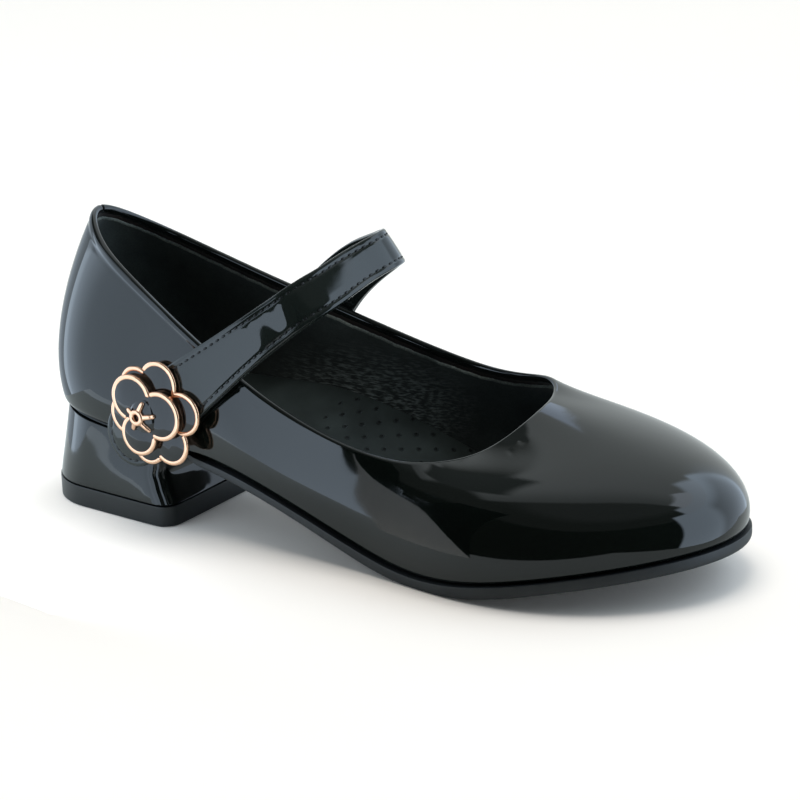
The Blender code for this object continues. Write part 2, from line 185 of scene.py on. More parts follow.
last = {
    "originX": 107.9, "originY": -1.2,
    "wall": 1.8,
    # foot x, y; top x, y, z; bulge, its height; shoulder in, out, up; crown in, up
    "ribs": (
        (2.0, 0.0, 10.5, 0.0, 78.5, 2.5, .30, .15, 1.5, .60, .60, .87),      # back seam
        (9.5, -18.5, 18.4, -11.6, 75.6, 3.5, .26, .15, 1.6, .60, .60, .87),
        (41.5, -24.9, 40.8, -21.2, 65.0, 2.0, .30, .15, 1.0, .60, .60, .85),
        (82.0, -28.5, 82.0, -25.4, 43.1, 2.5, .35, .15, 1.5, .65, .60, .85),  # outer waist
        (121.0, -31.0, 121.0, -27.5, 32.0, 2.5, .35, .10, 1.5, .65, .50, .85),
        (156.0, -36.8, 143.0, -21.0, 32.0, 2.5, .40, .05, 1.0, .75, .50, .90),
        (195.0, -29.4, 153.6, -11.0, 36.6, 2.5, .40, .05, 1.0, .75, .50, .88),
        (216.3, 0.8, 157.0, 1.0, 41.8, 3.1, .37, .05, 1.0, .67, .47, .86),    # toe
        (200.6, 28.7, 153.0, 12.8, 42.3, 3.0, .34, .08, 0.9, .73, .55, .85),
        (160.0, 35.3, 143.0, 23.3, 42.8, 2.4, .40, .05, 1.0, .70, .56, .82),
        (124.0, 29.6, 121.8, 27.0, 41.2, 2.5, .35, .10, 1.5, .66, .50, .86),
        (84.0, 21.8, 84.0, 22.6, 50.5, 2.5, .35, .15, 1.5, .65, .60, .85),    # inner waist
        (40.0, 24.4, 41.5, 20.0, 61.8, 2.0, .30, .15, 1.0, .60, .60, .85),
        (10.0, 17.0, 16.8, 11.6, 72.6, 2.5, .30, .15, 1.5, .60, .60, .85),
    ),
    "featherX": (0.0, 45.0, 75.0, 105.0, 130.0, 150.0, 185.0, 222.0),
    "featherZ": (28.5, 23.3, 19.6, 10.5, 3.8, 3.4, 9.1, 14.8),
}


def unit(vectors):
    return vectors / np.linalg.norm(vectors, axis=-1, keepdims=True)


def ease(t):
    t = np.clip(t, 0.0, 1.0)
    return t * t * (3 - 2 * t)


def toWorld(points):
    return (np.asarray(points) - (last["originX"], last["originY"], 0.0)) * mm


def spline(knots, values, at, period=None):
    # cubic spline through rows of values: closed if it has a period, else with free ends
    knots = np.asarray(knots, float)
    values = np.asarray(values, float).reshape(len(knots), -1)
    count = len(knots)
    gap = np.diff(np.append(knots, knots[0] + period) if period else knots)
    system, right = np.eye(count), np.zeros((count, values.shape[1]))
    for i in range(count) if period else range(1, count - 1):
        before, after = (i - 1) % count, (i + 1) % count
        system[i, before], system[i, i], system[i, after] = gap[before], 2 * (gap[before] + gap[i]), gap[i]
        right[i] = 6 * ((values[after] - values[i]) / gap[i] - (values[i] - values[before]) / gap[before])
    bend = np.linalg.solve(system, right)
    at = at % period if period else np.clip(np.asarray(at, float), knots[0], knots[-1])
    i = np.clip(np.searchsorted(knots, at, side="right") - 1, 0, len(gap) - 1)
    j = (i + 1) % count
    a, h = (at - knots[i])[:, None], gap[i][:, None]
    b = h - a
    curved = (bend[i] * b**3 + bend[j] * a**3) / (6 * h)
    return curved + (values[i] / h - bend[i] * h / 6) * b + (values[j] / h - bend[j] * h / 6) * a


def featherHeight(x):
    return spline(last["featherX"], last["featherZ"], x)[:, 0]


def ribKnots():
    table = np.array(last["ribs"])
    feet = table[:, :2]
    length = np.cumsum(np.linalg.norm(np.roll(feet, -1, axis=0) - feet, axis=1))
    return table, np.concatenate([[0.0], length[:-1]]), length[-1]


def lastRibs(at):
    # the five control points of each rib, at places along the feather line in mm
    table, knots, period = ribKnots()
    row = spline(knots, table, at, period).T
    foot = row[:2].T
    before, after = (spline(knots, table[:, :2], at + step, period) for step in (-1.0, 1.0))
    along = after - before
    outward = unit(np.stack([along[:, 1], -along[:, 0]], axis=1))
    top, topZ = row[2:4].T, row[4]
    base = featherHeight(foot[:, 0])

    def control(inward, out, up):
        plan = foot + (top - foot) * inward[:, None] + outward * out[:, None]
        return np.column_stack([plan, base + (topZ - base) * up])

    nil = np.zeros(len(at))
    controls = np.stack([
        control(nil, nil, nil), control(nil, row[5], row[6]), control(row[7], row[8], row[9]),
        control(row[10], nil, row[11]), np.column_stack([top, topZ])], axis=1)
    return foot, outward, controls


def lastSkin(at, fine=240):
    # points and normals of the skin on every rib, and each point's length of leather below the topline
    controls = lastRibs(at)[2]
    u = np.linspace(0.0, 1.0, fine)
    weights = np.array([math.comb(4, k) * u**k * (1 - u)**(4 - k) for k in range(5)])
    skin = np.einsum("ks,rka->rsa", weights, controls)
    around = np.roll(skin, -1, axis=0) - np.roll(skin, 1, axis=0)
    rising = np.gradient(skin, axis=1)
    normal = unit(np.cross(around, rising))
    step = np.linalg.norm(np.diff(skin, axis=1), axis=2)
    depth = np.concatenate([np.cumsum(step[:, ::-1], axis=1)[:, ::-1], np.zeros((len(at), 1))], axis=1)
    return skin, normal, depth, unit(rising[:, -1])


def skinAt(surface, depth):
    # skin points and normals at a length below the topline: one number, or one for each rib
    skin, normal, depths, _ = surface
    wanted = np.broadcast_to(depth, len(skin))
    found = np.empty((2, len(skin), 3))
    for i, want in enumerate(wanted):
        for axis in range(3):
            found[0, i, axis] = np.interp(-want, -depths[i], skin[i, :, axis])
            found[1, i, axis] = np.interp(-want, -depths[i], normal[i, :, axis])
    return found[0], unit(found[1])


def loopFaces(ringCount, size, closed):
    faces = []
    for k in range(ringCount if closed else ringCount - 1):
        low, high = k * size, (k + 1) % ringCount * size
        faces += [(low + i, low + (i + 1) % size, high + (i + 1) % size, high + i) for i in range(size)]
    return faces


def ribPlaces(count, seamSteps):
    # even places round the shoe, with extra ones close to the back seam
    period = ribKnots()[2]
    near = np.array(seamSteps)
    reach = near[-1]
    even = np.linspace(reach, period - reach, count)
    return np.concatenate([[0.0], near[:-1], even, period - near[-2::-1]])


print("last drawn")


# patent leather: lacquered film over a smooth split, near black, mirror gloss with a faint orange peel

patentSettings = {
    "colour": "#070b09", "roughness": 0.045, "ior": 1.5,
    "waveSize": 14.0, "waveHeight": 0.05,   # mm
    "rippleSize": 4.5, "rippleHeight": 0.0035,
    # fine lines where it is drawn over the toe, and where along the shoe they come in
    "tautSize": 0.9, "tautHeight": 0.0028, "tautStretch": (0.45, 1.0, 1.0), "tautReach": (0.0, 25.0),
    "peelSize": 1.1, "peelHeight": 0.0010,
    "smudgeSize": 22.0, "smudgeGloss": (0.6, 1.7),
}


def makePatent(name, s):
    made, tree, surface, coords = newMaterial(name, {
        "Base Color": linear(s["colour"]), "Roughness": s["roughness"], "IOR": s["ior"]})
    ripple = noise(tree, coords, s["rippleSize"], 1.0)
    taut = noise(tree, mapped(tree, coords, s["tautStretch"]), s["tautSize"], 2.0, 0.6)
    along = addNode(tree, "ShaderNodeSeparateXYZ", {"Vector": coords}).outputs["X"]
    start, end = s["tautReach"]
    front = remap(tree, along, start * mm, end * mm, toHigh=s["tautHeight"] / s["rippleHeight"])
    normal = bump(tree, noise(tree, coords, s["waveSize"], 1.5, 0.45), s["waveHeight"])
    normal = bump(tree, mathNode(tree, "MULTIPLY_ADD", taut, front, ripple), s["rippleHeight"], under=normal)
    normal = bump(tree, noise(tree, coords, s["peelSize"], 1.0), s["peelHeight"], under=normal)
    dull, bright = (s["roughness"] * share for share in s["smudgeGloss"])
    gloss = remap(tree, noise(tree, coords, s["smudgeSize"], 4.0), 0.35, 0.7, dull, bright, "LINEAR")
    feed(tree, surface["Normal"], normal)
    feed(tree, surface["Roughness"], gloss)
    return made


# suede-like lining: napped microfibre, soft and nearly without shine

liningSettings = {
    "colour": "#262b29", "light": "#3a403d", "edge": "#7d827a", "grain": 0.45, "nap": 0.05, "blotch": 9.0,
    # painted sheen and painted light: a lighter, streaked patch on the inner side by the waist, standing in
    # for the nap's sheen and for light on the shaded lower wall
    "paintedSheen": "#868d89", "paintedSheenAt": (-24.0, 22.0, 27.0), "paintedSheenSize": (40.0, 12.0, 17.0), "sheenStreak": 0.45,
    "sheenStreakStretch": (0.16, 1.0, 1.0),
}


def makeLining(name, s, dark, light):
    made, tree, surface, coords = newMaterial(name, {
        "Roughness": 0.92, "IOR": 1.45, "Specular IOR Level": 0.25,
        "Sheen Weight": 0.12, "Sheen Roughness": 0.5})
    grain = noise(tree, coords, s["grain"], 4.0, 0.7)
    blotched = mathNode(tree, "MULTIPLY", grain, noise(tree, coords, s["blotch"], 3.0))
    cloth = ramp(tree, blotched, (0.12, linear(dark)), (0.42, linear(light)))
    # painted sheen: lighter streaks in a patch by the inner waist, mixed over the cloth colour
    sheenStreaks = noise(tree, mapped(tree, coords, s["sheenStreakStretch"]), s["sheenStreak"], 3.0)
    scale = [1000 / part for part in s["paintedSheenSize"]]
    moved = mapped(tree, coords, scale, [-part * mm * k for part, k in zip(s["paintedSheenAt"], scale)])
    away = vectorNode(tree, "LENGTH", moved)["Value"]
    sheenPatch = mathNode(tree, "MULTIPLY", remap(tree, away, 1.1, 0.2), remap(tree, sheenStreaks, 0.40, 0.72))
    feed(tree, surface["Base Color"], mixColour(tree, sheenPatch, cloth, linear(s["paintedSheen"])))
    feed(tree, surface["Normal"], bump(tree, grain, s["nap"], 0.8))
    return made


patent = makePatent("patent leather, lacquered black", patentSettings)
liningCloth = makeLining("microfibre lining, napped black", liningSettings,
                         liningSettings["colour"], liningSettings["light"])
liningEdge = makeLining("lining edge, cut and frayed", liningSettings,
                        liningSettings["light"], liningSettings["edge"])
turnInEdge = makeLining("patent turned in, bare back showing", liningSettings, "#0d0b09", "#2b211a")


# upper: one lasted shell of patent leather with a folded topline, and the lining inside it

upperSettings = {
    "ribs": 430, "seamSteps": (0.14, 0.28, 0.42, 0.56, 0.75, 1.0, 1.4, 2.0, 3.0),
    "rows": 46,
    "thick": 0.9,
    "bandHeight": 2.1, "bandProud": 0.28, "bandValley": 0.06, "bandEnds": (78.0, 100.0),
    "rollUp": 1.25, "rollSteps": 16,
    # margin turned in under the foot: reach, height; its rounded edge as height and setback
    "margin": (3.0, 0.15), "footEdge": ((0.0, 0.75), (0.25, 0.38), (0.6, 0.14), (1.1, 0.03), (1.7, 0.0)),
    # wall from a height over the foot to a depth below the topline, then rings through the band
    "wallFrom": 2.4, "wallTo": 6.0, "bandRings": (5.3, 4.7, 4.2, 3.8, 3.4, 3.1, 2.8, 2.5, 2.2, 1.9, 1.6, 1.3),
    "insideRows": 14, "insideEnd": 0.8,
    # turned-in edge on the inside: depth, setback, finish
    "turnIn": ((1.3, 1.78, 0), (1.7, 1.60, 0), (2.0, 1.50, 1), (2.8, 1.52, 1), (4.0, 1.30, 1), (6.0, 1.0, 1)),
    # lining: height of its waves, setbacks of its face and back, where they start and end, their rows
    "liningTop": 3.1, "liningWave": 0.16, "liningFront": 1.9, "liningBack": 1.0,
    "liningFrom": 5.2, "liningBend": 1.92, "liningEnd": 0.4, "frontRows": 34, "backRows": 10,
    # cut edge of the lining: depth below its wavy top, setback, finish
    "liningEdge": ((0.25, 1.45, 1), (0.05, 1.60, 1), (0.0, 1.78, 1), (0.10, 1.98, 1), (0.35, 2.06, 1),
                   (0.75, 2.02, 0)),
    "seamWidth": 0.50, "seamDepth": 0.45, "notchDepth": 1.9,
    # middle x, y, z; direction x, y, z; length; width; depth, negative for a ridge
    "creases": (
        (42.5, -23.0, 57.4, .66, -.17, -.73, 5.0, 0.42, 0.14),
        (160.2, -11.2, 36.8, .95, -.3, -.05, 1.6, 1.2, 0.08),
        (159.6, -15.4, 34.9, .95, -.3, -.05, 1.2, 0.9, 0.05),
    ),
}


def creaseShift(points, creases):
    shift = np.zeros(points.shape[:-1])
    for x, y, z, alongX, alongY, alongZ, length, width, depth in creases:
        away = points - (x, y, z)
        along = away @ unit(np.array([alongX, alongY, alongZ]))
        off = np.sqrt(np.maximum(np.sum(away**2, axis=-1) - along**2, 0.0)) / width
        shift -= depth * (1 - 0.6 * off**2) * np.exp(-off**2) * np.exp(-(2 * along / length)**4)
    return shift


def ringPiece(name, rings, finishes, materials):
    # closed rings round the shoe, each joined to the next and the last to the first
    size = len(rings[0])
    piece = meshPiece(name, toWorld(np.concatenate(rings)), loopFaces(len(rings), size, True), materials,
                      np.repeat(finishes, size))
    outwardFaces(piece)
    return piece


def makeUpper(s):
    at = ribPlaces(s["ribs"], s["seamSteps"])
    surface = lastSkin(at)
    skin, _, depths, rise = surface
    total = depths[:, 0]
    fromSeam = np.minimum(at, ribKnots()[2] - at)
    seam = np.exp(-(fromSeam / s["seamWidth"])**2)
    # the folded band shows from the heel to the strap, and dies out along the throat
    first, end = s["bandEnds"]
    shown = 1 - ease((skin[:, -1, 0] - first) / (end - first))
    rings, finishes = [], []

    def addRing(points, finish=0):
        rings.append(points)
        finishes.append(finish)

    def skinRing(depth, offset, worn=True, finish=0):
        points, out = skinAt(surface, depth)
        if worn:
            offset = offset - s["seamDepth"] * seam + creaseShift(points, s["creases"])
        addRing(points + out * np.reshape(offset, (-1, 1)), finish)

    foot, outward, _ = lastRibs(at)
    reach, height = s["margin"]
    addRing(np.column_stack([foot - outward * reach, featherHeight(foot[:, 0]) + height]))
    for up, back in s["footEdge"]:
        skinRing(total - up, -back)
    low, high = total - s["wallFrom"], s["wallTo"]
    for share in np.linspace(0.0, 1.0, s["rows"]):
        skinRing(low + (high - low) * share, 0.0)
    for depth in s["bandRings"]:
        band = s["bandProud"] * (1 - ease((depth - s["bandHeight"] + 0.6) / 1.2))
        valley = s["bandValley"] * math.exp(-((depth - s["bandHeight"] - 0.9) / 0.7)**2)
        skinRing(depth, (band - valley) * shown)
    # folded edge: half an ellipse over the wall's whole thickness
    base, out = skinAt(surface, 1.0)
    middle = (s["bandProud"] * shown - last["wall"]) / 2
    half = (last["wall"] + s["bandProud"] * shown) / 2
    for turn in np.linspace(0.0, math.pi, s["rollSteps"]):
        notch = s["notchDepth"] * seam * math.sin(turn)
        addRing(base + out * (middle + half * math.cos(turn))[:, None]
                + rise * (s["rollUp"] * math.sin(turn) - notch)[:, None])
    for depth, offset, finish in s["turnIn"]:
        skinRing(depth, -offset, False, finish)
    for share in np.linspace(0.0, 1.0, s["insideRows"])[1:]:
        skinRing(high + (total - s["insideEnd"] - high) * share, -s["thick"], False, 1)
    return ringPiece("patentUpper", rings, finishes, [patent, turnInEdge])


def makeLiningPiece(s):
    at = ribPlaces(s["ribs"], s["seamSteps"])
    surface = lastSkin(at)
    total = surface[2][:, 0]
    wave = (np.sin(at * 0.9) + np.sin(at * 2.3 + 1) * 0.8 + np.sin(at * 5.1 + 2) * 0.6) * s["liningWave"] / 2
    edge, end = s["liningTop"] + wave, total - s["liningEnd"]
    top, start, back = s["wallTo"], s["liningFrom"], s["liningBack"]
    rows = [(top, back, 0)]
    rows += [(edge + depth, offset, finish) for depth, offset, finish in s["liningEdge"]]
    rows += [(start, s["liningBend"], 0)]
    rows += [(start + (end - start) * share, s["liningFront"], 0)
             for share in np.linspace(0.0, 1.0, s["frontRows"])[1:]]
    rows += [(top + (end - top) * share, back, 0) for share in np.linspace(1.0, 0.0, s["backRows"])[:-1]]
    rings = []
    for depth, offset, _ in rows:
        points, out = skinAt(surface, depth)
        rings.append(points - out * offset)
    return ringPiece("upperLining", rings, [finish for _, _, finish in rows], [liningCloth, liningEdge])


finishPiece(makeUpper(upperSettings), "patent_leather", "upper")
finishPiece(makeLiningPiece(upperSettings), "lining_leather")
print("upper and lining made")


# strap: two layers of patent stitched together, running from its tab over the instep to the inner quarter

strapSettings = {
    # centre x, y, z; width, lean and sway of the width, from the tab to the inner quarter
    "rows": (
        (41.5, -28.0, 25.4, 18.0, 52.0, 0.00), (55.2, -28.75, 36.0, 17.2, 52.0, 0.00),
        (64.8, -29.1, 43.6, 15.8, 51.6, -0.01), (71.5, -27.7, 48.9, 14.5, 51.1, -0.03),
        (77.9, -26.2, 54.0, 13.3, 51.0, -0.05), (83.6, -24.6, 58.4, 12.6, 51.3, -0.08),
        (88.3, -22.6, 62.1, 12.2, 51.7, -0.08), (92.3, -21.3, 65.2, 11.9, 52.0, -0.08),
        (95.1, -19.4, 67.4, 11.9, 52.0, -0.08), (97.2, -16.4, 69.1, 11.9, 52.0, -0.07),
        (99.0, -12.0, 70.8, 11.6, 52.0, -0.04), (100.5, -6.4, 72.8, 11.3, 52.6, -0.01),
        (102.3, 0.4, 74.9, 10.8, 55.4, 0.04), (103.9, 6.4, 76.4, 10.7, 58.0, 0.08),
        (100.6, 13.2, 75.2, 10.9, 57.0, 0.13), (94.0, 17.3, 71.7, 11.8, 54.0, 0.15),
        (84.6, 21.2, 66.4, 13.4, 51.5, 0.12), (75.6, 23.4, 59.6, 14.8, 49.0, 0.06),
        (68.6, 24.2, 52.0, 16.3, 47.0, 0.00), (64.0, 24.9, 45.0, 16.8, 47.0, 0.00),
        (61.6, 25.2, 41.3, 15.6, 47.0, 0.00), (60.1, 25.4, 39.0, 9.0, 47.0, 0.00),
    ),
    "step": 0.75, "endSteps": 20, "across": 6, "crown": 0.12,
    # distance in from the edge and height over the middle of the thickness, from below to above
    "section": (
        (2.6, -1.18), (0.8, -1.2), (0.35, -1.14), (0.10, -0.98), (0.0, -0.70), (0.0, -0.42), (0.05, -0.28),
        (0.28, -0.20), (0.28, -0.12), (0.05, -0.05), (0.0, 0.10), (0.0, 0.55), (0.06, 0.85), (0.22, 1.08),
        (0.50, 1.19), (0.95, 1.20), (1.30, 1.16), (1.52, 1.03), (1.88, 1.03), (2.10, 1.16), (2.50, 1.20),
        (3.10, 1.22),
    ),
    # rows whose faces take the light grey edge finish: a painted highlight along the groove between the two
    # layers
    "grooveRows": (7, 8),
    "stitchIn": 1.7, "stitchOver": 1.06, "stitchPitch": 2.3, "stitchSize": (1.35, 0.72, 0.42),
}


def strapPath(s):
    # places along the strap in mm, with the tab's rounded end before zero, and the frame at each
    rows = np.array(s["rows"])
    knots = np.concatenate([[0.0], np.cumsum(np.linalg.norm(np.diff(rows[:, :3], axis=0), axis=1))])
    at = np.arange(-rows[0, 3] / 2 - 0.5, knots[-1] + 0.25, 0.25)
    found = spline(knots, rows, at)
    centre = found[:, :3]
    first = int(np.searchsorted(at, 0.0))
    start = unit(centre[first + 1] - centre[first + 2])
    before = at < 0
    centre[before] = rows[0, :3] + start * -at[before, None]
    lean = np.radians(found[:, 4])
    along = unit(np.gradient(centre, axis=0))
    width = np.stack([np.cos(lean), found[:, 5], -np.sin(lean)], axis=1)
    width = unit(width - along * np.sum(width * along, axis=1, keepdims=True))
    return at, centre, width, np.cross(width, along), found[:, 3] / 2


def strapPoint(path, at, across, over):
    # a point by its place along the strap, its distance from the middle and its height
    places, centre, width, normal, _ = path
    at, across, over = np.broadcast_arrays(at, across, over)

    def pick(table):
        return np.stack([np.interp(at, places, table[:, axis]) for axis in range(3)], axis=-1)

    return pick(centre) + unit(pick(width)) * across[..., None] + unit(pick(normal)) * over[..., None]


def strapOutline(path, s, inset):
    # along and across of the outline, set in by a distance, from the root round the tab and back
    end = s["rows"][0][3] / 2
    turn = np.linspace(0.0, math.pi / 2, s["endSteps"])
    straight = np.arange(s["step"], path[0][-1], s["step"])
    along = np.concatenate([-(end - inset) * np.cos(turn), straight])
    across = np.concatenate([(end - inset) * np.sin(turn),
                             np.interp(straight, path[0], path[4]) - inset])
    return np.concatenate([along[::-1], along[1:]]), np.concatenate([-across[::-1], across[1:]])


def strapCrown(path, s, along, across):
    half = np.interp(along, path[0], path[4])
    return s["crown"] * np.clip(1 - (across / half)**2, 0.0, 1.0)


def makeStrap(s):
    path = strapPath(s)
    rings = []
    for inset, over in s["section"]:
        along, across = strapOutline(path, s, inset)
        lift = strapCrown(path, s, along, across) if over > 1.1 else 0.0
        rings.append(strapPoint(path, along, across, over + lift))
    size = len(rings[0])
    points = [tuple(p) for ring in rings for p in ring]
    faces, faceFinish = [], []
    for k in range(len(rings) - 1):
        for i in range(size - 1):
            a = k * size + i
            faces.append((a, a + 1, a + 1 + size, a + size))
            faceFinish.append(1 if k in s["grooveRows"] else 0)
    tip = size // 2

    def plate(ring, turned):
        # rows from one long side to the other, between the points of the innermost outline
        start, over = ring * size, s["section"][ring][1]
        along, across = strapOutline(path, s, s["section"][ring][0])
        rows = [[start + tip]]
        for i in range(1, tip + 1):
            left, right = tip - i, tip + i
            row = [start + left]
            for j in range(1, s["across"]):
                share = j / s["across"]
                place = along[left], across[left] + (across[right] - across[left]) * share
                lift = strapCrown(path, s, *place) if over > 0 else 0.0
                row.append(len(points))
                points.append(tuple(strapPoint(path, place[0], place[1], over + lift)))
            rows.append(row + [start + right])
        for near, far in zip(rows, rows[1:]):
            for j in range(s["across"]):
                quad = [near[min(j, len(near) - 1)], near[min(j + 1, len(near) - 1)], far[j + 1], far[j]]
                face = list(dict.fromkeys(quad))
                faces.append(tuple(reversed(face) if turned else face))
                faceFinish.append(0)

    plate(0, True)
    plate(len(rings) - 1, False)
    piece = meshPiece("instepStrap", toWorld(np.array(points)), faces, [strapPatent, strapSeamHighlight], faceFinish)
    outwardFaces(piece, (bpy.ops.mesh.fill_holes, {"sides": 0}))
    return piece


def makeStitches(s):
    # one stitch, rounded at its ends, repeated along the seam line
    bpy.ops.object.select_all(action="DESELECT")
    bpy.ops.mesh.primitive_uv_sphere_add(segments=8, ring_count=6, radius=0.5)
    stitch = bpy.context.active_object
    stitch.rotation_euler = (0.0, math.pi / 2, 0.0)
    placeInMesh(stitch)
    stitch.scale = [part * mm for part in s["stitchSize"]]
    placeInMesh(stitch)
    shape = np.array([point.co for point in stitch.data.vertices])
    pattern = [list(face.vertices) for face in stitch.data.polygons]
    bpy.data.objects.remove(stitch)
    path = strapPath(s)
    along, across = strapOutline(path, s, s["stitchIn"])
    line = strapPoint(path, along, across, s["stitchOver"])
    over = unit(strapPoint(path, along, across, 2.0) - strapPoint(path, along, across, 0.0))
    run = np.concatenate([[0.0], np.cumsum(np.linalg.norm(np.diff(line, axis=0), axis=1))])
    places = np.arange(s["stitchPitch"] / 2, run[-1], s["stitchPitch"])

    def at(table, shift=0.0):
        return np.stack([np.interp(places + shift, run, table[:, axis]) for axis in range(3)], axis=-1)

    forward = unit(at(line, 0.4) - at(line, -0.4))
    up = at(over)
    up = unit(up - forward * np.sum(up * forward, axis=1, keepdims=True))
    turned = np.stack([forward, np.cross(up, forward), up], axis=1)
    points = toWorld(at(line))[:, None] + np.einsum("pa,kab->kpb", shape, turned)
    faces = [[k * len(shape) + i for i in face] for k in range(len(places)) for face in pattern]
    return meshPiece("strapStitches", points.reshape(-1, 3), faces, [thread])


strapPatentSettings = {**patentSettings, "colour": "#161b19", "waveSize": 9.0, "waveHeight": 0.022,
                       "rippleSize": 4.0, "rippleHeight": 0.012}
strapPatent = makePatent("strap patent, lacquered black", strapPatentSettings)
# painted highlight: light grey in the groove between the two layers, standing in for the pale edge highlight
strapSeamHighlight = makeLining("strap seam, painted highlight", liningSettings, "#3a3b38", "#8a8a80")
threadSettings = {"colour": "#050505", "twist": 0.22, "depth": 0.03}


def makeThread(s):
    # bonded polyester thread: black, a dull shine along its twist
    made, tree, surface, coords = newMaterial("polyester thread, twisted black", {
        "Base Color": linear(s["colour"]), "Roughness": 0.5, "IOR": 1.5})
    twist = addNode(tree, "ShaderNodeTexWave", {"Vector": coords, "Scale": 1000 / s["twist"] / 20,
                                                "Distortion": 0.5}, bands_direction="DIAGONAL")
    feed(tree, surface["Normal"], bump(tree, twist.outputs["Fac"], s["depth"], 0.6))
    return made


thread = makeThread(threadSettings)
finishPiece(makeStrap(strapSettings), "patent_leather", "strap")
finishPiece(makeStitches(strapSettings), "patent_leather")
print("strap made and stitched")


# sock: thin leather over the padded footbed, fine grain, punched with small air holes in front of the heel

sockSettings = {
    "colour": "#1f2422", "light": "#2d3331", "grain": 0.55, "grainHeight": 0.035,
    "holePitch": 6.6, "holeSize": 0.5, "holeRim": 0.85, "holeDepth": 0.22,
    "holesFrom": -0.030, "holesTo": 0.055, "holeColour": (0.004, 0.0045, 0.004, 1.0), "blotch": 12.0,
    # faces flatter than this, and how the edges round them are bevelled and smoothed
    "flat": 0.6, "edgeRound": 0.9, "segments": 2, "levels": 2,
}


def makeSockLeather(s):
    made, tree, surface, coords = newMaterial("sock leather, fine grain black", {
        "Roughness": 0.6, "IOR": 1.45, "Specular IOR Level": 0.35})
    grain = addNode(tree, "ShaderNodeTexVoronoi", {"Scale": 1000 / s["grain"], "Vector": coords},
                    feature="DISTANCE_TO_EDGE").outputs["Distance"]
    leather = ramp(tree, noise(tree, coords, s["blotch"], 5.0), (0.35, linear(s["colour"])),
                   (0.75, linear(s["light"])))

    # two square grids of holes, the second shifted by half a step, make staggered rows
    pitch, distances = 1000 / s["holePitch"], []
    for shift in (0.0, 0.5):
        grid = mapped(tree, coords, (pitch, pitch, 0.0), (shift, shift, 0.0))
        cell = vectorNode(tree, "FRACTION", grid)["Vector"]
        off = vectorNode(tree, "SUBTRACT", cell, (0.5, 0.5, 0.0))["Vector"]
        distances.append(vectorNode(tree, "LENGTH", off)["Value"])
    nearest = mathNode(tree, "MINIMUM", *distances)
    size, rim = s["holeSize"] / s["holePitch"], s["holeRim"] / s["holePitch"]
    along = addNode(tree, "ShaderNodeSeparateXYZ", {"Vector": coords}).outputs["X"]
    within = mathNode(tree, "MULTIPLY", mathNode(tree, "GREATER_THAN", along, s["holesFrom"]),
                      mathNode(tree, "LESS_THAN", along, s["holesTo"]))
    hole = mathNode(tree, "MULTIPLY", remap(tree, nearest, size, size * 0.7), within)
    lip = mathNode(tree, "MULTIPLY", remap(tree, nearest, rim, size), within)
    feed(tree, surface["Base Color"], mixColour(tree, hole, leather, s["holeColour"]))
    relief = mathNode(tree, "MULTIPLY_ADD", hole, -2.2, lip)
    normal = bump(tree, grain, s["grainHeight"], 0.7)
    feed(tree, surface["Normal"], bump(tree, relief, s["holeDepth"], under=normal))
    return made


def roundedNode(node, name, finish, s):
    # a CAD node's triangles, merged and joined back into quads, as a new piece
    piece = bpy.data.objects.new(name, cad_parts[node].data.copy())
    piece.data.name = name
    bpy.context.scene.collection.objects.link(piece)
    piece.data.materials.clear()
    piece.data.materials.append(finish)
    outwardFaces(piece, (bpy.ops.mesh.remove_doubles, {"threshold": 0.01 * mm}),
                 (bpy.ops.mesh.tris_convert_to_quads, {"face_threshold": math.radians(40),
                                                       "shape_threshold": math.radians(60)}))
    # the rims of its flat faces bevelled, then the whole piece smoothed
    bpy.ops.object.mode_set(mode="EDIT")
    bpy.ops.mesh.select_mode(type="FACE")
    bpy.ops.mesh.select_all(action="DESELECT")
    shape = bmesh.from_edit_mesh(piece.data)
    for face in shape.faces:
        face.select_set(abs(face.normal.z) > s["flat"])
    bmesh.update_edit_mesh(piece.data)
    bpy.ops.mesh.region_to_loop()
    bpy.ops.mesh.bevel(offset=s["edgeRound"] * mm, segments=s["segments"], profile=0.5, affect="EDGES",
                       clamp_overlap=True)
    bpy.ops.object.mode_set(mode="OBJECT")
    outwardFaces(piece)
    smooth = piece.modifiers.new("smooth", "SUBSURF")
    smooth.levels = smooth.render_levels = s["levels"]
    bpy.ops.object.modifier_apply(modifier=smooth.name)
    bpy.ops.object.shade_smooth()
    return piece


finishPiece(roundedNode("insole", "footbedSock", makeSockLeather(sockSettings), sockSettings),
            "lining_leather", "insole")
print("footbed covered")


# outsole, lift: moulded rubber, satin with a fine grit; heel block wrapped in the upper's patent

rubberSettings = {"colour": "#15181a", "light": "#1d2122", "grit": 0.30, "gritHeight": 0.02,
                  "roughness": 0.55, "ribPitch": 3.2, "ribDepth": 0.35, "blotch": 7.0,
                  "flat": 0.75, "edgeRound": 0.35, "segments": 2, "levels": 1}
liftSettings = {**rubberSettings, "colour": "#0c0e0f", "light": "#121516", "grit": 0.25, "gritHeight": 0.008,
                "roughness": 0.36, "ribDepth": 0.3, "edgeRound": 0.4, "segments": 3, "levels": 2}
heelSettings = {
    "flat": 0.8, "edgeRound": 0.35, "segments": 2, "levels": 3,
    # hollow front face, as x over z
    "faceZ": (5.8, 9.5, 13.5, 17.5, 22.0), "faceX": (51.6, 49.4, 47.6, 48.0, 51.5),
    # pleats of the wrapping at the front outer corner: x from the corner, width, depth
    "pleats": ((-3.9, 0.55, 0.30), (-2.2, 0.45, 0.42), (-0.9, 0.40, 0.30)),
}


